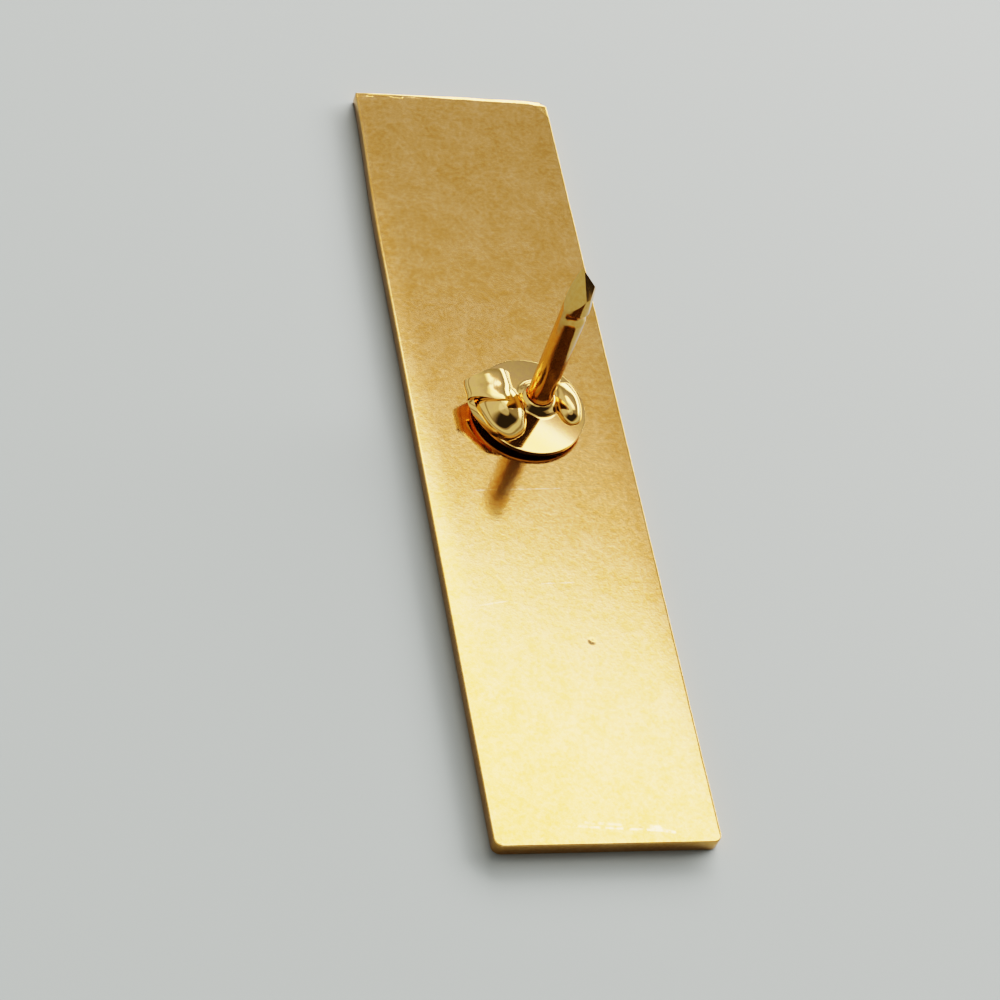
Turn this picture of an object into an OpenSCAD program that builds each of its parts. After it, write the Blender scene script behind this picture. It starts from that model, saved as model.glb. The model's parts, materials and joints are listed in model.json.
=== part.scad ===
// A lapel pin: a plain flat bar lying with its front face down, a pointed post soldered
// upright to its back, and a small stamped friction clutch pushed down on the post.
// Millimetres. +X runs across the bar, +Y along it and +Z up, away from the front face.
// The origin is at the middle of the front face.

/* [Bar] */
// Width of the bar
bar_w = 10; // [6:0.1:16]
// Length of the bar
bar_l = 42.4; // [30:0.1:60]
// Thickness of the bar
bar_t = 0.7; // [0.5:0.05:1.5]
// Radius of the two worn corners at the near end
corner_r = 0.4; // [0.1:0.05:1]
// Length of the nick that cuts the far right corner
corner_nick = 0.35; // [0.1:0.05:1]

/* [Post] */
// Radius of the post
post_r = 0.62; // [0.5:0.01:0.7]
// Height of the post above the back of the bar
post_h = 9.05; // [7:0.05:12]
// Place of the post across the bar, from the middle
post_x = 0.9; // [0:0.1:1.5]
// Place of the post along the bar, from the middle
post_y = 1.8; // [-5:0.1:5]
// Length of the pointed tip
tip_h = 1.1; // [0.4:0.05:1.5]
// Radius of the blunt end of the tip
tip_r = 0.15; // [0.05:0.01:0.3]
// Distance of the friction groove from the end of the tip
groove_drop = 2.3; // [2.2:0.1:3.6]
// Height of the groove
groove_h = 0.6; // [0.55:0.05:0.8]
// Depth of the groove
groove_d = 0.09; // [0.03:0.01:0.15]

/* [Clutch disc] */
// Radius of the disc
disc_r = 2.7; // [2.3:0.05:3.2]
// Place of the disc's centre across the bar, from the post
disc_x = -0.47; // [-0.8:0.01:0.8]
// Place of the disc's centre along the bar, from the post
disc_y = -0.4; // [-0.8:0.01:0.8]
// Thickness of the sheet that the clutch is stamped from
sheet_t = 0.22; // [0.15:0.01:0.22]
// Gap between the disc's rim and the bar, before the disc leans
rim_gap = 0.28; // [0.25:0.01:0.6]
// Rise of the domed disc from its rim to its middle
dome_h = 0.3; // [0.05:0.01:0.5]
// Lean of the disc towards the right, in degrees
lean = 4; // [0:0.5:5]
// Gap all round the post in the clutch
post_gap = 0.04; // [0.02:0.01:0.09]

/* [Clutch ears] */
// Width of the sheet that each ear is rolled from
ear_l = 1.75; // [1.4:0.05:2.2]
// Place of the middle of the ears along the bar, from the post
ear_y = -0.05; // [-0.8:0.01:0.2]
// Distance from the post's axis to the outside of the large left ear
left_reach = 3.6; // [3:0.05:3.9]
// Height of the left ear above the middle of the disc's sheet
left_rise = 1.18; // [1.1:0.02:1.6]
// Distance from the post's axis to the outside of the small right ear
right_reach = 1.85; // [1.7:0.05:1.95]
// Height of the right ear above the middle of the disc's sheet
right_rise = 0.82; // [0.8:0.02:1.1]
// Turn of the left ear past its lip, in degrees
left_curl = 95; // [20:5:100]
// Turn of the right ear past its lip, in degrees
right_curl = 15; // [5:5:30]

/* [Hidden] */
$fn = 96;
// Depth that the post is let into the bar, so that the two are one solid
post_root = 0.3;
// Number of steps that the rolled ears and the domed disc are drawn with
ear_steps = 30;
dome_steps = 6;
// Angle under an ear at which its sheet leaves the disc, counted from the lip over the top
ear_start = 262;
// Share by which an ear's roll tightens over each hundred degrees past its lip
ear_tighten = 0.32;
grip = post_r + post_gap;
groove_z = post_h - groove_drop;
shoulder_z = post_h - tip_h;

// Outline of the bar: round corners at the near end, a square one and a nicked one at the far end
module bar_outline() {
    difference() {
        union() {
            translate([-bar_w / 2, corner_r - bar_l / 2]) square([bar_w, bar_l - corner_r]);
            translate([corner_r - bar_w / 2, -bar_l / 2]) square([bar_w - 2 * corner_r, 2 * corner_r]);
            for (side = [-1, 1])
                translate([side * (bar_w / 2 - corner_r), corner_r - bar_l / 2]) circle(corner_r);
        }
        translate([bar_w / 2, bar_l / 2])
            polygon([[-corner_nick, 0], [1, 1], [0, -corner_nick]]);
    }
}

// Half section of the post: a plain shank, the friction groove, a plain head and the filed point
module post_section() {
    polygon([
        [0, -post_root],
        [post_r, -post_root],
        [post_r, groove_z - groove_h / 2],
        [post_r - groove_d, groove_z],
        [post_r, groove_z + groove_h / 2],
        [post_r, shoulder_z],
        [tip_r, post_h],
        [0, post_h],
    ]);
}

// The bar with the post soldered to its back
module bar_and_post() {
    color([0.86, 0.68, 0.36]) {
        linear_extrude(bar_t) bar_outline();
        translate([post_x, post_y, bar_t]) rotate_extrude() post_section();
    }
}

// Height of the underside of the domed disc at a distance r from its centre
function dome_z(r) = rim_gap + dome_h * (1 - pow(r / disc_r, 2));

// The round domed disc, leaned over, with the hole that the post goes through
module disc() {
    radii = [for (i = [0 : dome_steps]) disc_r * i / dome_steps];
    under = [for (r = radii) [r, dome_z(r)]];
    over = [for (i = [dome_steps : -1 : 0]) [radii[i], dome_z(radii[i]) + sheet_t]];
    difference() {
        rotate([0, lean, 0])
            translate([disc_x, disc_y, 0]) rotate_extrude() polygon(concat(under, over));
        cylinder(h = 2 * post_h, r = grip, center = true);
    }
}

// Height of the middle of the leaned disc's sheet at a distance x across the bar from the post
function sheet_z(x) = dome_z(abs(x - disc_x)) + sheet_t / 2 - x * sin(lean);

// Middle line of a rolled ear round its own centre, with its lip at angle 0
function ear_line(half_w, half_h, curl) = [
    for (i = [0 : ear_steps])
        let (
            t = ear_start - (ear_start + curl) * i / ear_steps,
            s = t < 0 ? 1 + ear_tighten * t / 100 : 1
        )
        [half_w * s * cos(t), half_h * s * sin(t)]
];

// Point at a distance d to the left of a line at its point i
function beside(line, i, d) =
    let (
        p = line[max(i - 1, 0)],
        q = line[min(i + 1, len(line) - 1)],
        u = (q - p) / norm(q - p)
    )
    line[i] + d * [-u[1], u[0]];

// Outline of a strip of sheet whose middle follows a line
function strip(line, t) = concat(
    [for (i = [0 : len(line) - 1]) beside(line, i, t / 2)],
    [for (i = [len(line) - 1 : -1 : 0]) beside(line, i, -t / 2)]
);

// One rolled ear on the side where side is -1 or 1, from the post's gap out to its reach
module ear(side, reach, rise, curl) {
    mid_x = side * (reach + grip) / 2;
    half_w = (reach - grip - sheet_t) / 2;
    half_h = (rise - sheet_t) / 2;
    translate([mid_x, ear_y + ear_l / 2, sheet_z(mid_x) + rise / 2])
        rotate([90, 0, 0])
            linear_extrude(ear_l)
                mirror([side > 0 ? 1 : 0, 0])
                    polygon(strip(ear_line(half_w, half_h, curl), sheet_t));
}

// The stamped clutch: a domed disc with a hole, and two rolled ears that press on the post
module clutch() {
    color([0.9, 0.72, 0.38])
        translate([post_x, post_y, bar_t]) {
            disc();
            ear(-1, left_reach, left_rise, left_curl);
            ear(1, right_reach, right_rise, right_curl);
        }
}

bar_and_post();
clutch();
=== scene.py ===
"""A gold bar lapel pin that lies on its front face, with its soldered post and friction clutch."""

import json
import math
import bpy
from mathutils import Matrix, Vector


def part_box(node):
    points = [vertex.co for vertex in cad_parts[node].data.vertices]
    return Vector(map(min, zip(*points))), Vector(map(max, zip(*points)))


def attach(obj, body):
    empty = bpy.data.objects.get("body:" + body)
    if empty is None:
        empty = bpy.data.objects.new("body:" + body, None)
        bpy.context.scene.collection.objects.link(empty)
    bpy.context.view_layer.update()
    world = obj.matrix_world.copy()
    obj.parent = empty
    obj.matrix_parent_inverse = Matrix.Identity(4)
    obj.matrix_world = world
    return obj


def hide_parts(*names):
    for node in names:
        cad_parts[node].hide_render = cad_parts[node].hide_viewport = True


bl_info = {
    "name": "Gold Bar Lapel Pin",
    "version": (1, 0, 0),
    "blender": (4, 5, 0),
    "location": "3D View > Sidebar > Lapel Pin",
    "description": "Makes the bar, the post and the clutch of a gold lapel pin on its frame",
    "category": "Object",
}

import bmesh
import bpy
from bpy.props import FloatProperty, FloatVectorProperty, IntProperty, PointerProperty
from mathutils import Matrix, Vector, noise

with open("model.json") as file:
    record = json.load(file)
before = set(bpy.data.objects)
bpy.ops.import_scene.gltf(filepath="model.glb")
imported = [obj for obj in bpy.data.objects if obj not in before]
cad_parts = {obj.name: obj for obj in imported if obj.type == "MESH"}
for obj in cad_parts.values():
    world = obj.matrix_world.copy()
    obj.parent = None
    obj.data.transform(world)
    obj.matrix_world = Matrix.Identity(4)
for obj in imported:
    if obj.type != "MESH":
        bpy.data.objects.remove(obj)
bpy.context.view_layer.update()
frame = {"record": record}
MM = 0.001
TINY = 0.001 * MM
HALF_W, HALF_L, TIP_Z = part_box("bar_and_post")[1]
POST_MOUNT = next(m for m in frame["record"]["mounts"] if m["name"] == "post")
POST_AXIS = Vector((*POST_MOUNT["pos_m"][:2], 0))
POST_R = POST_MOUNT["dims"]["r_mm"] * MM

# Cuts in the bar: even ones on each side of its middle, their step in millimetres, and closer ones
# near the edges, in millimetres from the middle
EVEN_CUTS_X = 7
EVEN_CUTS_Y = 40
CUT_STEP = 0.5
EDGE_CUTS_X = (3.9, 4.1, 4.3, 4.5, 4.65, 4.8, 4.88)
EDGE_CUTS_Y = (20.3, 20.5, 20.7, 20.85, 21.0, 21.1)
# Rise from end to end below which an edge of the bar counts as level
LEVEL = 0.1 * MM
# Where the fold of the far right corner meets the far edge and the right edge
FOLD_X = 4.0 * MM
FOLD_Y = 20.0 * MM
# Strip turned down at the far edge: its width on the left, its slant, its bend and its step
CREASE_IN = 0.10 * MM
CREASE_SLANT = 0.018
CREASE_BEND = 0.09 * MM
CREASE_STEP = 0.006 * MM
# Share by which the turned strip's slope is uneven, and how far apart its uneven places are
CREASE_UNEVEN = 0.35
CREASE_GRAIN = 1.3 * MM
# Small pit: its place, its radius and the room round it that is cut finely
PIT_X = 1.14 * MM
PIT_Y = -11.11 * MM
PIT_R = 0.17 * MM
PIT_ROOM = 0.6 * MM
# Height from which the bar's sides follow its back
WORN_FROM = 0.3 * MM
# Size of the slow waves in the back, across and along the bar
WAVE_X = 5 * MM
WAVE_Y = 7 * MM
# Taper: where it starts along the half length, the strip at the far end that slants, and how much
TAPER_FROM = 0.55
FAR_END = 0.2 * MM
FAR_SLANT = 0.5
# Jags: the strip along the right edge, its plain ends, the jags' size and where they start
JAG_STRIP = 0.12 * MM
JAG_ENDS = 0.5 * MM
JAG_SIZE = 0.7 * MM
JAG_FROM = 0.1
# Marks on the bar's back: two ends in millimetres, width in millimetres and strength
SCUFFS_AND_PAINTED_HIGHLIGHTS = (
    # Scuffs across the back
    ((-2.79, -3.04), (1.23, -2.86), 0.05, 0.8),
    ((-0.6, -8.08), (0.9, -8.02), 0.05, 0.7),
    ((-3.9, -9.3), (-2.2, -9.0), 0.06, 0.5),
    # Painted highlights along a line by the near end, to the end of the list
    ((-1.53, -20.31), (2.86, -20.65), 0.09, 0.9),
    ((1.95, -20.42), (2.35, -20.46), 0.16, 1.0),
    ((2.0, -20.49), (2.94, -20.7), 0.12, 1.0),
    ((-0.9, -20.15), (0.6, -20.3), 0.10, 0.6),
)
DARK_MARKS_AND_PAINTED_SHADE = (
    # Painted shade beside the painted highlights by the near end
    ((1.44, -20.43), (1.8, -20.63), 0.10, 0.8),
    # A dark line by the near left corner
    ((-4.9, -20.43), (-4.67, -20.91), 0.06, 0.7),
    # Darker over the pit
    ((1.10, -11.18), (1.17, -11.04), 0.10, 0.9),
)

# Depth of the post and of its solder in the bar
POST_SUNK = 0.2 * MM
SOLDER_SUNK = 0.02 * MM
# Steps of the solder's fillet, and distance between the post's rings in millimetres
SOLDER_STEPS = 6
RING_STEP = 0.25
# Groove: half of its room as a share of its height, its deep side and the plain head above it
GROOVE_ROOM = 0.6
GROOVE_SIDE = Vector((0.55, -0.83, 0)).normalized()
HEAD_ROOM = 0.3 * MM
# Unevenness of the drawn post, and how far apart its dents and those in the ears are
POST_UNEVEN = 0.012 * MM
DENT_SIZE = 0.5 * MM
# Point, from the post's axis, and the turn and rise in degrees of each face filed to it
POINT_X = -0.10 * MM
POINT_Y = 0.40 * MM
POINT_FACES = ((194, 17.6), (210, 22), (246, 43), (308, 66), (21, 33))
# Shoulder of the last filed face, from the point, and that face's turn and rise in degrees
SHOULDER = Vector((0.454, -0.586, -0.33)) * MM
SHOULDER_FACE = (332, 7.8)

# Left ear: the angle in degrees at which its sheet leaves the disc, and its curl's radius as a
# share of its half width
EAR_START = 262
EAR_CURL = 0.62
# Strips across the left ear, steps of its roll and steps of its curl
EAR_ROWS = 6
EAR_STEPS = 48
CURL_STEPS = 34
# Stretches over which the left ear's flank, neck and flare grow, as shares of its half sizes
FLANK = (0.3, 1.0)
NECK = (0.1, 0.95)
FLARE = (0.1, 0.9)
# Most that the outer flank moves in, as a share of its distance from the ear's middle
FLANK_IN = 0.3
# Rounded end of the left ear and whole right ear: place from the post, half widths and height in
# millimetres, turn in degrees and far end as a share of the half length
LOBES = (
    (-2.0, -0.6, 1.2, 1.75, 0.98, 15, 0.25),
    (1.36, -0.15, 0.66, 1.25, 0.46, 6, 0.75),
)
# Height of a lobe's lumps and its depth in the disc as shares of its size, and how close they are
LUMP = 0.05
LOBE_SUNK = 0.1
LUMP_CLOSE = 1.5

# Elevation in degrees, strength and tone of the high light, from its lower edge upwards
HIGH_LIGHT = (
    (38, 0.0, (1.0, 1.0, 1.0)),
    (43, 0.022, (1.0, 1.0, 1.5)),
    (46, 0.035, (1.0, 0.98, 1.4)),
    (47.7, 0.055, (1.0, 0.82, 0.84)),
    (49.3, 0.10, (1.0, 0.68, 0.72)),
    (50.4, 0.22, (1.0, 0.70, 0.76)),
    (51, 0.40, (1.0, 0.79, 0.86)),
    (51.6, 0.80, (0.98, 1.0, 1.03)),
    (52.8, 0.95, (1.0, 0.94, 0.88)),
    (55, 1.0, (1.0, 0.78, 0.50)),
    (61, 0.95, (1.0, 0.92, 0.80)),
    (70, 0.30, (1.0, 0.96, 0.9)),
    (84, 0.05, (1.0, 1.0, 1.0)),
)
# Height on the studio's dome of radius 1 at which each part is dark and at which it is full
WINDOW_FOOT = (0.15, 0.22)
WINDOW_TOP = (0.53, 0.45)
WALL_FOOT = (0.10, 0.18)
WALL_TOP = (0.50, 0.42)
UPPER = (0.52, 0.62)
OVERHEAD = (0.955, 0.98)
# Heading of each part from +Y towards +X in degrees, and how far off it is dark and full
HIGH_WAY = (30, 44, 20)
WINDOW_WAY = (44, 50, 24)
WALL_WAY = (208, 150, 120)
SHADE_WAY = (168, 80, 52)
FILL_WAY = (300, 58, 35)
# Tones of the low window, of the dim light on the left and of the rest of the studio
WINDOW_TONE = (1.0, 0.97, 0.93)
FILL_TONE = (1.0, 0.95, 0.88)
STUDIO_TONE = (1.0, 0.98, 0.95)

# Sockets of a Mix node that mixes colours
MIX_A = 6
MIX_B = 7
MIX_RESULT = 2


def length(name, description, default_mm):
    """A length property whose default is given in millimetres."""
    return FloatProperty(name=name, description=description, default=default_mm * MM,
                         unit="LENGTH", precision=5)


def angle(name, description, default_deg):
    """An angle property whose default is given in degrees."""
    return FloatProperty(name=name, description=description, default=math.radians(default_deg),
                         subtype="ANGLE")


def share(name, description, default):
    """A property from 0 to 1."""
    return FloatProperty(name=name, description=description, default=default, min=0.0, max=1.0,
                         subtype="FACTOR")


def radiance(name, description, default):
    """A property for the strength of a light."""
    return FloatProperty(name=name, description=description, default=default, min=0.0)


def colour(name, description, default):
    """A scene linear colour property."""
    return FloatVectorProperty(name=name, description=description, default=default, size=3,
                               min=0.0, max=1.0, subtype="COLOR")


class BarSettings(bpy.types.PropertyGroup):
    """Sizes of the flat bar."""

    thickness: length("Thickness", "Thickness of the bar", 0.7)
    corner: length("Corner radius", "Radius of the two worn corners at the near end", 0.4)
    nick: length("Nick", "Length of the nick that cuts the far right corner", 0.35)
    edge: length("Edge", "Rounding of the long edges", 0.045)
    roll: length("Roll", "Fall of the back towards its two long edges", 0.02)
    roll_w: length("Roll width", "Width of the strip that falls away", 1.1)
    right_roll: share("Right roll", "Fall at the right edge as a share of the left one", 0.3)
    turned: FloatProperty(name="Turned edge", default=0.2,
                          description="Slope of the turned strip at the far edge")
    pit: length("Pit", "Depth of the small pit", 0.03)
    lip: length("Lip", "Rise of the back just inside the far edge", 0.010)
    lip_w: length("Lip width", "Width of the rising strip at the far edge", 1.3)
    wave: length("Wave", "Height of the slow waves in the back", 0.0022)
    taper: length("Taper", "Narrowing of the far end on its left side", 0.22)
    fold: length("Fold", "Fall of the bent far right corner at its tip", 0.06)
    jag: length("Jags", "Depth of the small nicks along the right edge", 0.035)


class PostSettings(bpy.types.PropertyGroup):
    """Sizes of the soldered post."""

    solder: length("Solder", "Radius of the solder fillet at the foot", 0.28)
    groove_drop: length("Groove drop", "Distance of the groove from the tip's end", 2.3)
    groove_h: length("Groove height", "Height of the friction groove", 0.6)
    groove_d: length("Groove depth", "Depth of the groove on its deep side", 0.13)
    tip_h: length("Tip height", "Height of the filed point", 1.1)
    ridge: length("Ridge", "Rounding of the ridges between the filed faces", 0.02)
    steps: IntProperty(name="Steps", description="Number of faces around the post", default=72,
                       min=12)


class ClutchSettings(bpy.types.PropertyGroup):
    """Sizes of the stamped friction clutch."""

    disc_r: length("Disc radius", "Radius of the domed disc", 2.62)
    disc_x: length("Disc place X", "Place of the disc's middle to the right of the post", -0.43)
    disc_y: length("Disc place Y", "Place of the disc's middle beyond the post", -0.4)
    sheet: length("Sheet", "Thickness of the stamped sheet", 0.22)
    rim_gap: length("Rim gap", "Gap between the disc's rim and the bar", 0.28)
    dome: length("Dome", "Rise of the disc from its rim to its middle", 0.08)
    collar: length("Collar", "Rise of the drawn collar round the post", 0.28)
    collar_w: length("Collar width", "Width of the collar's slope round the hole", 0.42)
    lean: angle("Lean", "Lean of the disc towards the right", 1.5)
    pitch: angle("Pitch", "Lean of the disc towards the near end", 1.8)
    post_gap: length("Post gap", "Gap all round the post", 0.04)
    ear_l: length("Ear width", "Width of the sheet that the left ear is rolled from", 1.75)
    ear_y: length("Ear place", "Place of the left ear's middle beyond the post", -0.05)
    left_reach: length("Left reach", "Distance from the post's axis to the ear's outside", 3.6)
    left_rise: length("Left rise", "Height of the left ear above the disc's sheet", 1.18)
    curl: angle("Curl", "Turn of the left ear past its lip", 170)
    neck: share("Neck", "Width of the left ear's outer flank as a share of its top", 0.6)
    square: share("Squareness", "How upright the left ear's outer flank stands", 0.5)
    flare: FloatProperty(name="Flare", default=1.5,
                         description="Widening of the left ear's near side at its foot")
    lip_gap: length("Lip gap", "Room between the left ear's lip and the post", 0.7)
    dent: length("Dents", "Depth of the small dents in the left ear", 0.035)
    edge: length("Edge", "Rounding of the sheet's edges", 0.035)
    ear_sheet: length("Ear sheet", "Thickness of the left ear's sheet with its burr", 0.3)
    steps: IntProperty(name="Steps", description="Number of faces around the disc", default=128,
                       min=24)


class FinishSettings(bpy.types.PropertyGroup):
    """Colours and polish of the gold."""

    gold: colour("Gold", "Colour of the clean gold", (0.80, 0.455, 0.150))
    deep_gold: colour("Deep gold", "Colour of the gold's darker mottles", (0.70, 0.350, 0.075))
    clutch_gold: colour("Clutch gold", "Colour of the polished clutch", (0.87, 0.52, 0.135))
    # Colour of the light marks: scuffs, and painted highlights by the near end of the bar
    scuff_and_painted_highlight: colour("Scuff", "Colour of the scuffed places", (0.93, 0.68, 0.36))
    # Colour of the dark marks: painted shade by the near end of the bar, a corner line and the pit
    dark_mark_and_painted_shade: colour("Stain", "Colour of the stained places", (0.42, 0.22, 0.06))
    post_gold: colour("Post gold", "Colour of the drawn post", (0.76, 0.44, 0.12))
    bar_rough: share("Bar roughness", "Roughness of the rubbed bar", 0.11)
    post_rough: share("Post roughness", "Roughness of the drawn post", 0.16)
    clutch_rough: share("Clutch roughness", "Roughness of the polished clutch", 0.06)


class StageSettings(bpy.types.PropertyGroup):
    """Camera, floor and light."""

    azimuth: angle("Azimuth", "Turn of the view line from +Y towards +X", 27.776)
    elevation: angle("Elevation", "Angle at which the view line falls", 50.013)
    roll: angle("Roll", "Turn of the camera about its view line", 22.776)
    distance: length("Distance", "Distance of the camera from the point it looks at", 135.272)
    aim: FloatVectorProperty(name="Aim", description="Point that the camera looks at", size=3,
                             default=(-1.72 * MM, -3.57 * MM, 0.7 * MM), unit="LENGTH",
                             precision=5)
    lens: FloatProperty(name="Lens", description="Focal length for a sensor 36 mm wide",
                        default=109.479, unit="CAMERA")
    floor_size: length("Floor size", "Width of the floor", 3000.0)
    floor: colour("Floor", "Colour of the floor", (0.184, 0.207, 0.206))
    power: radiance("High light", "Radiance of the high light", 6.5)
    window: radiance("Window", "Radiance of the low window on the floor", 50.0)
    window_seen: radiance("Window seen", "Radiance of the low window in the metal", 7.0)
    fill: radiance("Fill", "Radiance of the dim light on the left", 0.62)
    surround: radiance("Surround", "Radiance all round", 0.31)
    shade: radiance("Shade", "Radiance towards the shaded near side", 0.03)
    low_wall: radiance("Low wall", "Radiance added low down, away from the window", 0.6)
    ceiling: radiance("Ceiling", "Radiance added right overhead", 0.6)


SETTINGS = {
    "lapel_bar": BarSettings,
    "lapel_post": PostSettings,
    "lapel_clutch": ClutchSettings,
    "lapel_finish": FinishSettings,
    "lapel_stage": StageSettings,
}


def smooth_step(low, high, value):
    """0 below low, 1 above high and a smooth rise between."""
    t = min(max((value - low) / (high - low), 0.0), 1.0)
    return t * t * (3 - 2 * t)


def direction(turn, rise):
    """A unit vector at a turn from +X towards +Y and a rise, both in degrees."""
    around, up = math.radians(turn), math.radians(rise)
    return Vector((math.cos(around) * math.cos(up), math.sin(around) * math.cos(up), math.sin(up)))


def add_node(tree, kind, values=None, **attributes):
    """A new node with its attributes and its unlinked inputs set."""
    node = tree.nodes.new(kind)
    for name, value in attributes.items():
        setattr(node, name, value)
    for socket, value in (values or {}).items():
        node.inputs[socket].default_value = value
    return node


def times(tree, first, second):
    """The product of two linked values."""
    node = add_node(tree, "ShaderNodeMath", operation="MULTIPLY")
    tree.links.new(first, node.inputs[0])
    tree.links.new(second, node.inputs[1])
    return node.outputs["Value"]


def new_group(name, inputs, outputs):
    """A shader node group with named inputs, named float outputs and its two end nodes."""
    group = bpy.data.node_groups.new(name, "ShaderNodeTree")
    for label, default in inputs.items():
        kind = "NodeSocketVector" if isinstance(default, tuple) else "NodeSocketFloat"
        socket = group.interface.new_socket(label, in_out="INPUT", socket_type=kind)
        socket.default_value = default
    for label in outputs:
        group.interface.new_socket(label, in_out="OUTPUT", socket_type="NodeSocketFloat")
    return group, group.nodes.new("NodeGroupInput"), group.nodes.new("NodeGroupOutput")


def mottle_group():
    """Fine grain and slow clouding of rubbed gold, as a height and a mask."""
    group, given, out = new_group("Gold mottle",
                                  {"Grain": 9000.0, "Cloud": 900.0, "Grain share": 0.6},
                                  ["Height", "Mask"])
    place = add_node(group, "ShaderNodeTexCoord")
    grain = add_node(group, "ShaderNodeTexNoise", {"Detail": 3.0, "Roughness": 0.65})
    cloud = add_node(group, "ShaderNodeTexNoise", {"Detail": 4.0, "Roughness": 0.6})
    mix = add_node(group, "ShaderNodeMix", data_type="FLOAT")
    group.links.new(place.outputs["Object"], grain.inputs["Vector"])
    group.links.new(place.outputs["Object"], cloud.inputs["Vector"])
    group.links.new(given.outputs["Grain"], grain.inputs["Scale"])
    group.links.new(given.outputs["Cloud"], cloud.inputs["Scale"])
    group.links.new(given.outputs["Grain share"], mix.inputs["Factor"])
    group.links.new(cloud.outputs["Fac"], mix.inputs["A"])
    group.links.new(grain.outputs["Fac"], mix.inputs["B"])
    mask = add_node(group, "ShaderNodeMapRange", {"From Min": 0.38, "From Max": 0.62})
    group.links.new(mix.outputs["Result"], out.inputs["Height"])
    group.links.new(mix.outputs["Result"], mask.inputs["Value"])
    group.links.new(mask.outputs["Result"], out.inputs["Mask"])
    return group


def line_group():
    """How near a place is to a line between two points, broken up by grain."""
    group, given, out = new_group("Line mark", {"From": (0.0, 0.0, 0.0), "To": (0.0, 0.0, 0.0),
                                                "Width": 0.0001, "Strength": 1.0}, ["Mask"])

    def vector_math(operation, first, second):
        """A node that works on two linked values."""
        node = add_node(group, "ShaderNodeVectorMath", operation=operation)
        group.links.new(first, node.inputs[0])
        group.links.new(second, node.inputs["Scale" if operation == "SCALE" else 1])
        return node

    place = add_node(group, "ShaderNodeTexCoord").outputs["Object"]
    out_of = vector_math("SUBTRACT", place, given.outputs["From"]).outputs["Vector"]
    line = vector_math("SUBTRACT", given.outputs["To"], given.outputs["From"]).outputs["Vector"]
    along = add_node(group, "ShaderNodeMath", operation="DIVIDE", use_clamp=True)
    group.links.new(vector_math("DOT_PRODUCT", out_of, line).outputs["Value"], along.inputs[0])
    group.links.new(vector_math("DOT_PRODUCT", line, line).outputs["Value"], along.inputs[1])
    foot = vector_math("SCALE", line, along.outputs["Value"]).outputs["Vector"]
    away = vector_math("DISTANCE", out_of, foot).outputs["Value"]
    near = add_node(group, "ShaderNodeMapRange", {"To Min": 1.0, "To Max": 0.0},
                    interpolation_type="SMOOTHSTEP")
    group.links.new(away, near.inputs["Value"])
    group.links.new(given.outputs["Width"], near.inputs["From Max"])
    grain = add_node(group, "ShaderNodeTexNoise", {"Scale": 2600.0, "Detail": 3.0})
    group.links.new(place, grain.inputs["Vector"])
    patches = add_node(group, "ShaderNodeMapRange", {"From Min": 0.40, "From Max": 0.56})
    group.links.new(grain.outputs["Fac"], patches.inputs["Value"])
    broken = times(group, near.outputs["Result"], patches.outputs["Result"])
    group.links.new(times(group, broken, given.outputs["Strength"]), out.inputs["Mask"])
    return group


def gold_material(name, light, dark, roughness, spread, grain, bump):
    """Gold whose colour, polish and grain vary as the mottle group says."""
    material = bpy.data.materials.new(name)
    material.use_nodes = True
    tree = material.node_tree
    shader = tree.nodes["Principled BSDF"]
    shader.inputs["Metallic"].default_value = 1.0
    shader.inputs["Roughness"].default_value = roughness
    group = bpy.data.node_groups.get("Gold mottle") or mottle_group()
    mottle = add_node(tree, "ShaderNodeGroup", {"Grain": grain}, node_tree=group)
    tint = add_node(tree, "ShaderNodeMix", data_type="RGBA")
    tint.inputs[MIX_A].default_value = (*dark, 1.0)
    tint.inputs[MIX_B].default_value = (*light, 1.0)
    polish = add_node(tree, "ShaderNodeMapRange",
                      {"To Min": roughness - spread, "To Max": roughness + spread})
    relief = add_node(tree, "ShaderNodeBump", {"Strength": 1.0, "Distance": bump})
    tree.links.new(mottle.outputs["Mask"], tint.inputs["Factor"])
    tree.links.new(tint.outputs[MIX_RESULT], shader.inputs["Base Color"])
    tree.links.new(mottle.outputs["Height"], polish.inputs["Value"])
    tree.links.new(polish.outputs["Result"], shader.inputs["Roughness"])
    tree.links.new(mottle.outputs["Height"], relief.inputs["Height"])
    tree.links.new(relief.outputs["Normal"], shader.inputs["Normal"])
    return material


def new_piece(name, mesh, material, body, slot, *nodes):
    """Makes a mesh a smooth piece that rides on a body and stands for the CAD nodes."""
    piece = bpy.data.objects.new(name, mesh)
    bpy.context.scene.collection.objects.link(piece)
    mesh.materials.append(material)
    mesh.shade_smooth()
    piece.modifiers.new("Flat faces", "WEIGHTED_NORMAL").keep_sharp = True
    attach(piece, body)
    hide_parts(*nodes)
    return piece


def mesh_from(bm, name):
    """Ends a bmesh: turns its faces outwards and returns its mesh."""
    bmesh.ops.recalc_face_normals(bm, faces=bm.faces)
    if bm.calc_volume(signed=True) < 0:
        bmesh.ops.reverse_faces(bm, faces=bm.faces)
    mesh = bpy.data.meshes.new(name)
    bm.to_mesh(mesh)
    bm.free()
    return mesh


def cut(bm, place, normal, **options):
    """Cuts every face that a plane crosses."""
    everything = bm.verts[:] + bm.edges[:] + bm.faces[:]
    return bmesh.ops.bisect_plane(bm, geom=everything, dist=1e-7, plane_co=place, plane_no=normal,
                                  **options)


def slice_off(bm, place, normal):
    """Cuts away what lies beyond a plane and closes the cut."""
    found = cut(bm, place, normal, clear_outer=True)
    rim = [g for g in found["geom_cut"] if isinstance(g, bmesh.types.BMEdge)]
    if not bmesh.ops.contextual_create(bm, geom=rim)["faces"]:
        raise RuntimeError("a cut face could not be closed")


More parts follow.
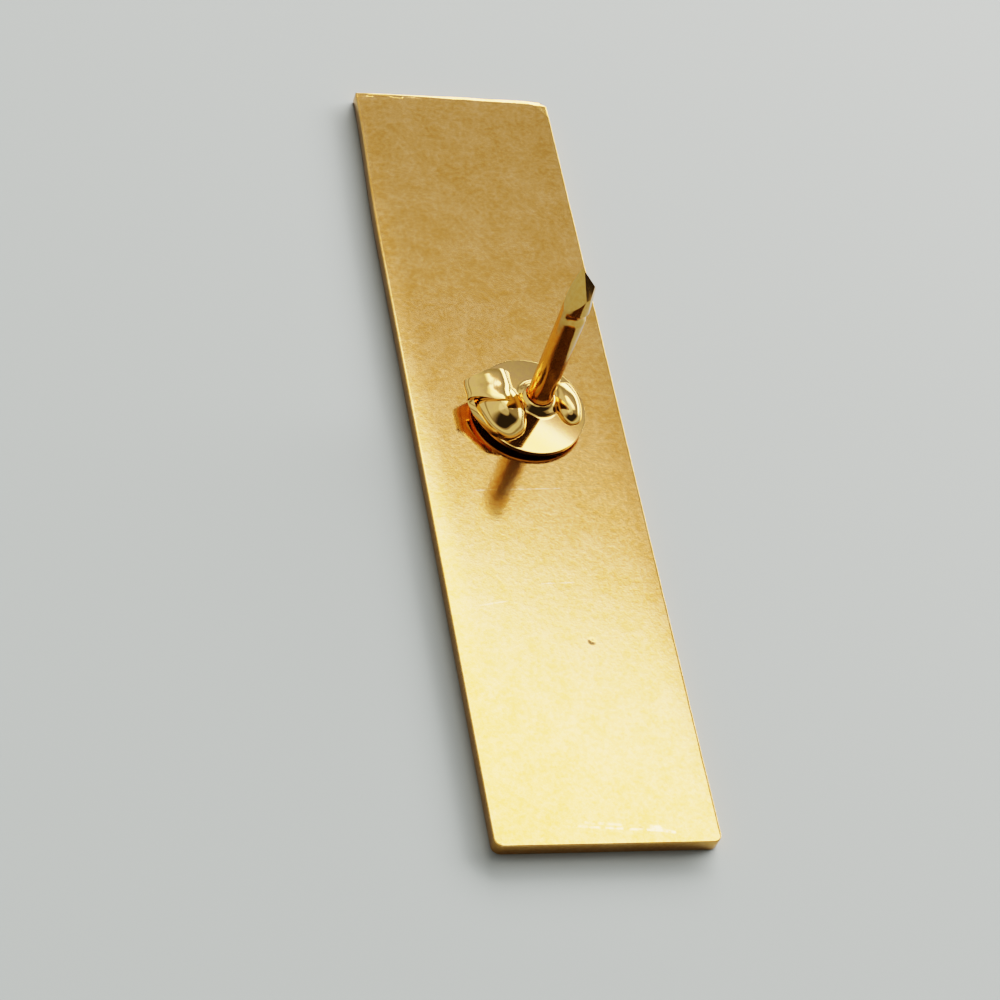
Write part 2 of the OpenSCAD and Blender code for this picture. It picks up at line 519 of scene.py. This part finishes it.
def round_off(bm, edges, width, segments, **options):
    """Rounds edges over a width on both sides of them."""
    bmesh.ops.bevel(bm, geom=edges, offset=width, affect="EDGES", segments=segments, profile=0.5,
                    material=-1, **options)


def sharp_edges(bm, degrees):
    """The edges whose two faces meet at more than an angle."""
    limit = math.radians(degrees)
    return [e for e in bm.edges if e.is_manifold and e.calc_face_angle(0.0) > limit]


def rise_of(edge):
    """How much higher one end of an edge lies than the other."""
    return abs(edge.verts[0].co.z - edge.verts[1].co.z)


def upright_edges(bm, test):
    """The edges along Z whose place passes a test."""
    return [e for e in bm.edges if rise_of(e) > LEVEL and test(e.verts[0].co)]


def cut_places(even_cuts, edge_cuts):
    """Places of even cuts on both sides of the middle, then of closer ones near both edges."""
    even = [i * CUT_STEP for i in range(-even_cuts, even_cuts + 1)]
    return [place * MM for place in even + [side * x for side in (-1, 1) for x in edge_cuts]]


def back_rise(s, x, y):
    """Height of the bar's worn back over a flat one at a place, which is mostly a fall."""
    side = max(abs(x) - (HALF_W - s.roll_w), 0.0) / s.roll_w
    far = max(y - (HALF_L - s.lip_w), 0.0) / s.lip_w
    waves = s.wave * noise.noise(Vector((x / WAVE_X, y / WAVE_Y, 0.0)))
    roll = s.roll * (s.right_roll if x > 0 else 1.0)
    return waves - roll * side ** 2 + s.lip * (far ** 2 - 1)


class PIN_OT_bar(bpy.types.Operator):
    """Makes the flat bar, with its worn corners, its bent far corner and its turned far edge"""

    bl_idname = "pin.bar"
    bl_label = "Bar"

    def execute(self, context):
        s = context.scene.lapel_bar
        finish = context.scene.lapel_finish
        bm = self.plate(s)
        self.wear(bm, s)
        material = gold_material("Rubbed gold", finish.gold, finish.deep_gold, finish.bar_rough,
                                 spread=0.03, grain=5200.0, bump=0.0026 * MM)
        self.marks(material, s.thickness, finish)
        new_piece("bar", mesh_from(bm, "bar"), material, "pin", "gold_bar", "bar_and_post")
        return {"FINISHED"}

    def plate(self, s):
        """A flat plate with round near corners, a nicked far one and round rims."""
        bm = bmesh.new()
        bmesh.ops.create_cube(bm, size=1.0)
        bmesh.ops.scale(bm, vec=(2 * HALF_W, 2 * HALF_L, s.thickness), verts=bm.verts)
        bmesh.ops.translate(bm, vec=(0, 0, s.thickness / 2), verts=bm.verts)
        round_off(bm, upright_edges(bm, lambda p: p.y < 0), s.corner, 8)
        round_off(bm, upright_edges(bm, lambda p: p.y > 0 and p.x > 0), s.nick, 1)
        round_off(bm, [e for e in bm.edges if rise_of(e) < LEVEL], s.edge, 3)
        return bm

    def wear(self, bm, s):
        """Cuts the plate finely and gives it its fold, turned edge, taper, jags, pit and waves."""
        for x in cut_places(EVEN_CUTS_X, EDGE_CUTS_X):
            cut(bm, (x, 0, 0), (1, 0, 0))
        for y in cut_places(EVEN_CUTS_Y, EDGE_CUTS_Y):
            cut(bm, (0, y, 0), (0, 1, 0))
        fold = Vector((FOLD_X, HALF_L, 0))
        fold_line = Vector((HALF_W, FOLD_Y, 0)) - fold
        fold_out = Vector((-fold_line.y, fold_line.x, 0)).normalized()
        fold_reach = (Vector((HALF_W, HALF_L, 0)) - fold).dot(fold_out)
        cut(bm, fold, fold_out)
        crease = Vector((-HALF_W, HALF_L - CREASE_IN, 0))
        crease_out = Vector((CREASE_SLANT, 1.0, 0)).normalized()
        cut(bm, crease, crease_out)
        cut(bm, crease - CREASE_BEND * crease_out, crease_out)
        pit = Vector((PIT_X, PIT_Y, s.thickness))
        spot = [f for f in bm.faces if (f.calc_center_median() - pit).length < PIT_ROOM]
        bmesh.ops.subdivide_edges(bm, edges=list({e for f in spot for e in f.edges}), cuts=7,
                                  use_grid_fill=True)
        for v in bm.verts:
            top = smooth_step(WORN_FROM, s.thickness - s.edge, v.co.z)
            beyond = max((v.co - fold).dot(fold_out), 0.0) / fold_reach
            rise = back_rise(s, v.co.x, v.co.y)
            left = max(-v.co.x, 0.0) / HALF_W
            v.co.x += s.taper * left * smooth_step(TAPER_FROM * HALF_L, HALF_L, v.co.y)
            if v.co.y > HALF_L - FAR_END:
                v.co.y -= FAR_SLANT * s.taper * left
            if v.co.x > HALF_W - JAG_STRIP and abs(v.co.y) < HALF_L - JAG_ENDS:
                rough = noise.noise(Vector((v.co.y / JAG_SIZE, v.co.z / MM, 3.0)))
                v.co.x -= s.jag * max(rough - JAG_FROM, 0.0) * top
            turned = (v.co - crease).dot(crease_out)
            uneven = 1 + CREASE_UNEVEN * noise.noise(Vector((v.co.x / CREASE_GRAIN, 0.0, 9.0)))
            rise -= s.turned * uneven * max(turned, 0.0) + (CREASE_STEP if turned > -TINY else 0.0)
            rise -= s.pit * (1 - smooth_step(0.0, PIT_R, (v.co - pit).length))
            v.co.z += top * (rise - s.fold * beyond)

    def marks(self, material, height, finish):
        """Draws scratches, scuffs, dark marks, painted highlights and shade on the bar's back."""
        tree = material.node_tree
        base = tree.nodes["Principled BSDF"].inputs["Base Color"]
        group = line_group()
        # Dark marks with painted shade among them, then light marks with painted highlights, over
        # the gold
        for marks, tone in ((DARK_MARKS_AND_PAINTED_SHADE, finish.dark_mark_and_painted_shade), (SCUFFS_AND_PAINTED_HIGHLIGHTS, finish.scuff_and_painted_highlight)):
            lines = []
            for start, end, width, strength in marks:
                ends = [(x * MM, y * MM, height) for x, y in (start, end)]
                values = {"From": ends[0], "To": ends[1], "Width": width * MM,
                          "Strength": strength}
                line = add_node(tree, "ShaderNodeGroup", values, node_tree=group)
                lines.append(line.outputs["Mask"])
            mask = lines[0]
            for line in lines[1:]:
                most = add_node(tree, "ShaderNodeMath", operation="MAXIMUM")
                tree.links.new(mask, most.inputs[0])
                tree.links.new(line, most.inputs[1])
                mask = most.outputs["Value"]
            over = add_node(tree, "ShaderNodeMix", data_type="RGBA")
            over.inputs[MIX_B].default_value = (*tone, 1.0)
            tree.links.new(mask, over.inputs["Factor"])
            tree.links.new(base.links[0].from_socket, over.inputs[MIX_A])
            tree.links.new(over.outputs[MIX_RESULT], base)


class PIN_OT_post(bpy.types.Operator):
    """Makes the post, with the solder at its foot, its friction groove and its filed point"""

    bl_idname = "pin.post"
    bl_label = "Post"

    def execute(self, context):
        s = context.scene.lapel_post
        finish = context.scene.lapel_finish
        foot = context.scene.lapel_bar.thickness
        groove_z = TIP_Z - s.groove_drop
        bm = self.shank(s, foot, groove_z)
        self.groove(bm, s, foot + s.solder, groove_z)
        self.file_point(bm)
        ridges = [e for e in sharp_edges(bm, 20)
                  if min(v.co.z for v in e.verts) > groove_z + 0.5 * s.groove_h]
        round_off(bm, ridges, s.ridge, 2, clamp_overlap=True)
        material = gold_material("Drawn gold", finish.post_gold, finish.deep_gold,
                                 finish.post_rough, spread=0.05, grain=6000.0, bump=0.0015 * MM)
        new_piece("post", mesh_from(bm, "post"), material, "pin", "gold_bar", "bar_and_post")
        return {"FINISHED"}

    def shank(self, s, foot, groove_z):
        """A plain round post with its solder fillet, and with rings where it is shaped later."""
        section = [(0.0, foot - POST_SUNK), (POST_R + s.solder, foot - POST_SUNK)]
        for i in range(SOLDER_STEPS + 1):
            turn = math.radians(90 * i / SOLDER_STEPS)
            section.append((POST_R + s.solder * (1 - math.sin(turn)),
                            foot - SOLDER_SUNK + s.solder * (1 - math.cos(turn))))
        rings = [foot + s.solder + i * RING_STEP * MM for i in range(1, 40)]
        rings = [z for z in rings if z < groove_z - s.groove_h * GROOVE_ROOM]
        rings += [groove_z + s.groove_h * k / 10 for k in range(-5, 6)]
        rings += [groove_z + s.groove_h * GROOVE_ROOM, TIP_Z - s.tip_h - HEAD_ROOM,
                  TIP_Z - 0.5 * s.tip_h, TIP_Z]
        section += [(POST_R, z) for z in rings]
        section.append((0.0, TIP_Z))
        bm = bmesh.new()
        verts = [bm.verts.new((POST_AXIS.x + r, POST_AXIS.y, z)) for r, z in section]
        edges = [bm.edges.new(pair) for pair in zip(verts, verts[1:])]
        bmesh.ops.spin(bm, geom=verts + edges, cent=POST_AXIS, axis=(0, 0, 1), angle=2 * math.pi,
                       steps=s.steps, use_merge=True)
        bmesh.ops.remove_doubles(bm, verts=bm.verts, dist=1e-7)
        return bm

    def groove(self, bm, s, low, groove_z):
        """Presses in the groove, deep on one side, and dents the post slightly above a height."""
        for v in bm.verts:
            out = Vector((v.co.x - POST_AXIS.x, v.co.y - POST_AXIS.y, 0))
            if out.length > 0.9 * POST_R and v.co.z > low:
                well = max(1 - abs(v.co.z - groove_z) / (s.groove_h / 2), 0.0)
                face = out.normalized().dot(GROOVE_SIDE)
                depth = s.groove_d * well * smooth_step(-0.1, 0.7, face)
                depth += POST_UNEVEN * (0.5 + 0.5 * noise.noise(v.co / DENT_SIZE))
                v.co -= out.normalized() * depth

    def file_point(self, bm):
        """Files the post's end to a point beside its axis."""
        point = Vector((POST_AXIS.x + POINT_X, POST_AXIS.y + POINT_Y, TIP_Z))
        for face in POINT_FACES:
            slice_off(bm, point, direction(*face))
        slice_off(bm, point + SHOULDER, direction(*SHOULDER_FACE))


class PIN_OT_clutch(bpy.types.Operator):
    """Makes the stamped clutch: a disc with a collar round its hole and an ear on each side"""

    bl_idname = "pin.clutch"
    bl_label = "Clutch"

    def execute(self, context):
        s = context.scene.lapel_clutch
        finish = context.scene.lapel_finish
        # The shells pass into each other and share one mesh
        shells = [self.disc(s), self.ear(s)] + [self.lobe(s, *lobe) for lobe in LOBES]
        bm = bmesh.new()
        for shell in shells:
            bm.from_mesh(shell)
            bpy.data.meshes.remove(shell)
        material = gold_material("Polished gold", finish.clutch_gold, finish.gold,
                                 finish.clutch_rough, spread=0.02, grain=5000.0, bump=0.0006 * MM)
        new_piece("clutch_sheet", mesh_from(bm, "clutch_sheet"), material, "clutch",
                  "gold_clutch", "clutch")
        return {"FINISHED"}

    def foot(self):
        """The point on the post's axis at the bar's back."""
        return POST_AXIS + Vector((0, 0, bpy.context.scene.lapel_bar.thickness))

    def top_of_sheet(self, s, x, y):
        """Height of the disc's upper face over the bar's back, at a place from the post."""
        far = math.hypot(x - s.disc_x, y - s.disc_y) / s.disc_r
        grip = POST_R + s.post_gap
        collar = s.collar * (1 - smooth_step(grip, grip + s.collar_w, math.hypot(x, y)))
        lean = y * math.sin(s.pitch) - x * math.sin(s.lean)
        return s.rim_gap + s.sheet + s.dome * (1 - far ** 2) + collar + lean

    def disc(self, s):
        """The mesh of the domed disc with its collar and its hole."""
        grip = POST_R + s.post_gap
        bm = bmesh.new()
        bmesh.ops.create_circle(bm, segments=s.steps, radius=grip)
        bmesh.ops.create_circle(bm, segments=s.steps, radius=s.disc_r,
                                matrix=Matrix.Translation((s.disc_x, s.disc_y, 0)))
        rungs = bmesh.ops.bridge_loops(bm, edges=bm.edges[:])["edges"]
        bmesh.ops.subdivide_edges(bm, edges=rungs, cuts=23, use_grid_fill=True)
        for v in bm.verts:
            v.co.z = self.top_of_sheet(s, v.co.x, v.co.y)
        bmesh.ops.recalc_face_normals(bm, faces=bm.faces)
        if sum(f.normal.z for f in bm.faces) < 0:
            bmesh.ops.reverse_faces(bm, faces=bm.faces)
        bmesh.ops.solidify(bm, geom=bm.faces[:], thickness=s.sheet)
        # The sheet's thickness leans in at the collar, so the hole's wall is set upright again
        for v in bm.verts:
            v.co.xy *= max(grip / v.co.xy.length, 1.0)
        round_off(bm, sharp_edges(bm, 60), s.edge, 3, clamp_overlap=True)
        bmesh.ops.translate(bm, vec=self.foot(), verts=bm.verts)
        return mesh_from(bm, "disc")

    def ear(self, s):
        """The mesh of the rolled left ear, whose sheet leaves the disc, goes over and curls in."""
        grip = POST_R + s.post_gap
        half_w = (s.left_reach - grip) / 2
        half_h = s.left_rise / 2
        curl_r = EAR_CURL * half_w
        start = math.radians(EAR_START)
        first_x, first_z = half_w * math.cos(start), half_w * math.sin(start)
        bm = bmesh.new()
        row = [bm.verts.new((first_x, (k / EAR_ROWS - 0.5) * s.ear_l, first_z))
               for k in range(EAR_ROWS + 1)]
        strip = [bm.edges.new(pair) for pair in zip(row, row[1:])]
        over = bmesh.ops.spin(bm, geom=row + strip, cent=(0, 0, 0), axis=(0, 1, 0), angle=start,
                              steps=EAR_STEPS)["geom_last"]
        bmesh.ops.spin(bm, geom=over, cent=(half_w - curl_r, 0, 0), axis=(0, 1, 0), angle=s.curl,
                       steps=CURL_STEPS)
        bmesh.ops.remove_doubles(bm, verts=bm.verts, dist=1e-7)
        bmesh.ops.scale(bm, vec=(1, 1, half_h / half_w), verts=bm.verts)
        for v in bm.verts:
            if v.co.x < 0:
                v.co.x *= 1 - FLANK_IN * s.square * smooth_step(*FLANK, v.co.z / half_h)
            v.co.y *= 1 - (1 - s.neck) * smooth_step(*NECK, -v.co.x / half_w)
            if v.co.y < 0:
                v.co.y *= 1 + s.flare * smooth_step(*FLARE, -v.co.z / half_h)
            v.co.x -= s.lip_gap * max(v.co.x, 0.0) / half_w
        bmesh.ops.recalc_face_normals(bm, faces=bm.faces)
        bm.normal_update()
        for v in bm.verts:
            v.co += v.normal * s.dent * noise.noise(v.co / DENT_SIZE - Vector((3.0, 0, 0)))
        middle = max(bm.faces, key=lambda f: f.calc_center_median().z)
        if middle.normal.z < 0:
            bmesh.ops.reverse_faces(bm, faces=bm.faces)
        bmesh.ops.solidify(bm, geom=bm.faces[:], thickness=s.ear_sheet)
        round_off(bm, sharp_edges(bm, 60), s.edge, 3, clamp_overlap=True)
        mid_x = -(s.left_reach + grip) / 2
        mid_z = self.top_of_sheet(s, mid_x, s.disc_y) - s.sheet / 2 + half_h
        bmesh.ops.translate(bm, vec=self.foot() + Vector((mid_x, s.ear_y, mid_z)), verts=bm.verts)
        return mesh_from(bm, "ear")

    def lobe(self, s, x, y, half_x, half_y, height, turn, far_end):
        """The mesh of a rounded ear or end of an ear, which comes down to the disc."""
        bm = bmesh.new()
        bmesh.ops.create_uvsphere(bm, u_segments=64, v_segments=32, radius=1.0)
        for v in bm.verts:
            v.co *= 1 + LUMP * noise.noise(LUMP_CLOSE * v.co)
        slice_off(bm, (0, 0, -LOBE_SUNK), (0, 0, -1))
        slice_off(bm, (0, far_end, 0), (0, 1, 0))
        place = Vector((x, y, 0)) * MM
        place.z = self.top_of_sheet(s, place.x, place.y)
        bmesh.ops.scale(bm, vec=Vector((half_x, half_y, height)) * MM, verts=bm.verts)
        bmesh.ops.rotate(bm, matrix=Matrix.Rotation(math.radians(turn), 3, "Z"), verts=bm.verts)
        bmesh.ops.translate(bm, vec=self.foot() + place, verts=bm.verts)
        return mesh_from(bm, "lobe")


class PIN_OT_stage(bpy.types.Operator):
    """Makes the camera, the floor and the soft studio light"""

    bl_idname = "pin.stage"
    bl_label = "Stage"

    def execute(self, context):
        s = context.scene.lapel_stage
        self.camera(context.scene, s)
        self.floor(context.scene, s)
        self.light(context.scene, s)
        context.scene.view_settings.view_transform = "Filmic"
        context.scene.view_settings.look = "Medium High Contrast"
        return {"FINISHED"}

    def camera(self, scene, s):
        """A camera at the angle of the reference view."""
        along = Vector((math.sin(s.azimuth) * math.cos(s.elevation),
                        math.cos(s.azimuth) * math.cos(s.elevation), -math.sin(s.elevation)))
        data = bpy.data.cameras.new("camera")
        data.lens = s.lens
        data.sensor_width = 36.0
        data.clip_start = 1 * MM
        camera = bpy.data.objects.new("camera", data)
        roll = Matrix.Rotation(s.roll, 4, "Z")
        turn = along.to_track_quat("-Z", "Y").to_matrix().to_4x4() @ roll
        camera.matrix_world = Matrix.Translation(Vector(s.aim) - along * s.distance) @ turn
        scene.collection.objects.link(camera)
        scene.camera = camera

    def floor(self, scene, s):
        """A plain pale floor under the pin."""
        bm = bmesh.new()
        bmesh.ops.create_grid(bm, x_segments=1, y_segments=1, size=s.floor_size / 2)
        mesh = mesh_from(bm, "floor")
        material = bpy.data.materials.new("Pale floor")
        material.use_nodes = True
        shader = material.node_tree.nodes["Principled BSDF"]
        shader.inputs["Base Color"].default_value = (*s.floor, 1.0)
        shader.inputs["Roughness"].default_value = 0.6
        shader.inputs["Specular IOR Level"].default_value = 0.2
        mesh.materials.append(material)
        floor = bpy.data.objects.new("floor", mesh)
        scene.collection.objects.link(floor)

    def light(self, scene, s):
        """A soft studio: a high light, a low window, a dim left side and a low wall behind."""
        world = bpy.data.worlds.new("Soft studio")
        world.use_nodes = True
        scene.world = world
        tree = world.node_tree
        place = add_node(tree, "ShaderNodeTexCoord").outputs["Generated"]
        parts = add_node(tree, "ShaderNodeSeparateXYZ")
        level = add_node(tree, "ShaderNodeVectorMath", {1: (1.0, 1.0, 0.0)}, operation="MULTIPLY")
        compass = add_node(tree, "ShaderNodeVectorMath", operation="NORMALIZE")
        tree.links.new(place, parts.inputs["Vector"])
        tree.links.new(place, level.inputs[0])
        tree.links.new(level.outputs["Vector"], compass.inputs[0])
        up, heading = parts.outputs["Z"], compass.outputs["Vector"]
        high = add_node(tree, "ShaderNodeValToRGB")
        band = high.color_ramp
        while len(band.elements) < len(HIGH_LIGHT):
            band.elements.new(0.5)
        for element, (at, strength, tone) in zip(band.elements, HIGH_LIGHT):
            element.position = math.sin(math.radians(at))
            element.color = (*(strength * part for part in tone), 1.0)
        tree.links.new(up, high.inputs["Fac"])
        upper = self.step(tree, up, *UPPER)
        shaded = times(tree, self.facing(tree, heading, *SHADE_WAY), upper)
        dim = add_node(tree, "ShaderNodeMapRange", {"To Min": s.surround, "To Max": s.shade})
        tree.links.new(shaded, dim.inputs["Value"])
        # The metal sees the window dimmer than the floor does, or it turns white from the left
        ray = add_node(tree, "ShaderNodeLightPath")
        power = add_node(tree, "ShaderNodeMapRange",
                         {"To Min": s.window, "To Max": s.window_seen})
        tree.links.new(ray.outputs["Is Glossy Ray"], power.inputs["Value"])
        window = times(tree, self.part(tree, up, heading, WINDOW_FOOT, WINDOW_TOP, WINDOW_WAY),
                       power.outputs["Result"])
        wall = self.part(tree, up, heading, WALL_FOOT, WALL_TOP, WALL_WAY)
        left = times(tree, self.facing(tree, heading, *FILL_WAY), upper)
        lights = [self.scaled(tree, high.outputs["Color"], self.facing(tree, heading, *HIGH_WAY),
                              s.power),
                  self.scaled(tree, WINDOW_TONE, window, 1.0),
                  self.scaled(tree, STUDIO_TONE, wall, s.low_wall),
                  self.scaled(tree, STUDIO_TONE, self.step(tree, up, *OVERHEAD), s.ceiling),
                  self.scaled(tree, FILL_TONE, left, s.fill),
                  self.scaled(tree, STUDIO_TONE, dim.outputs["Result"], 1.0)]
        whole = lights[0]
        for light in lights[1:]:
            both = add_node(tree, "ShaderNodeVectorMath", operation="ADD")
            tree.links.new(whole, both.inputs[0])
            tree.links.new(light, both.inputs[1])
            whole = both.outputs["Vector"]
        tree.links.new(whole, tree.nodes["Background"].inputs["Color"])

    def step(self, tree, value, dark, full):
        """A smooth rise from 0 where a value is dark to 1 where it is full."""
        node = add_node(tree, "ShaderNodeMapRange", {"From Min": dark, "From Max": full},
                        interpolation_type="SMOOTHSTEP")
        tree.links.new(value, node.inputs["Value"])
        return node.outputs["Result"]

    def facing(self, tree, heading, toward, dark, full):
        """1 within some degrees of a heading, counted from +Y towards +X, and 0 beyond others."""
        turn = math.radians(toward)
        along = add_node(tree, "ShaderNodeVectorMath", {1: (math.sin(turn), math.cos(turn), 0.0)},
                         operation="DOT_PRODUCT")
        tree.links.new(heading, along.inputs[0])
        return self.step(tree, along.outputs["Value"], math.cos(math.radians(dark)),
                         math.cos(math.radians(full)))

    def part(self, tree, up, heading, foot, top, way):
        """A part of the studio's wall between a foot and a top, round one heading."""
        band = times(tree, self.step(tree, up, *foot), self.step(tree, up, *top))
        return times(tree, band, self.facing(tree, heading, *way))

    def scaled(self, tree, tone, mask, strength):
        """A tone or a linked colour times a mask and a strength."""
        by_mask = add_node(tree, "ShaderNodeVectorMath", operation="SCALE")
        if isinstance(tone, tuple):
            by_mask.inputs[0].default_value = tone
        else:
            tree.links.new(tone, by_mask.inputs[0])
        tree.links.new(mask, by_mask.inputs["Scale"])
        node = add_node(tree, "ShaderNodeVectorMath", {"Scale": strength}, operation="SCALE")
        tree.links.new(by_mask.outputs["Vector"], node.inputs[0])
        return node.outputs["Vector"]


OPERATORS = (PIN_OT_bar, PIN_OT_post, PIN_OT_clutch, PIN_OT_stage)


class PIN_PT_panel(bpy.types.Panel):
    """Lists the steps and the settings"""

    bl_label = "Lapel Pin"
    bl_idname = "PIN_PT_panel"
    bl_space_type = "VIEW_3D"
    bl_region_type = "UI"
    bl_category = "Lapel Pin"

    def draw(self, context):
        for operator in OPERATORS:
            self.layout.operator(operator.bl_idname)
        for name, kind in SETTINGS.items():
            box = self.layout.box()
            box.label(text=kind.__doc__)
            for setting in kind.__annotations__:
                box.prop(getattr(context.scene, name), setting)


def register():
    """Registers the settings, the steps and the panel."""
    for kind in (*SETTINGS.values(), *OPERATORS, PIN_PT_panel):
        bpy.utils.register_class(kind)
    for name, kind in SETTINGS.items():
        setattr(bpy.types.Scene, name, PointerProperty(type=kind))


def unregister():
    """Takes away what register added."""
    for name in SETTINGS:
        delattr(bpy.types.Scene, name)
    for kind in reversed((*SETTINGS.values(), *OPERATORS, PIN_PT_panel)):
        bpy.utils.unregister_class(kind)


def main():
    """Makes the scene: the stage, the bar, the post and the clutch."""
    register()
    bpy.ops.pin.stage()
    bpy.ops.pin.bar()
    bpy.ops.pin.post()
    bpy.ops.pin.clutch()
    bpy.context.view_layer.update()


if __name__ == "__main__":
    main()
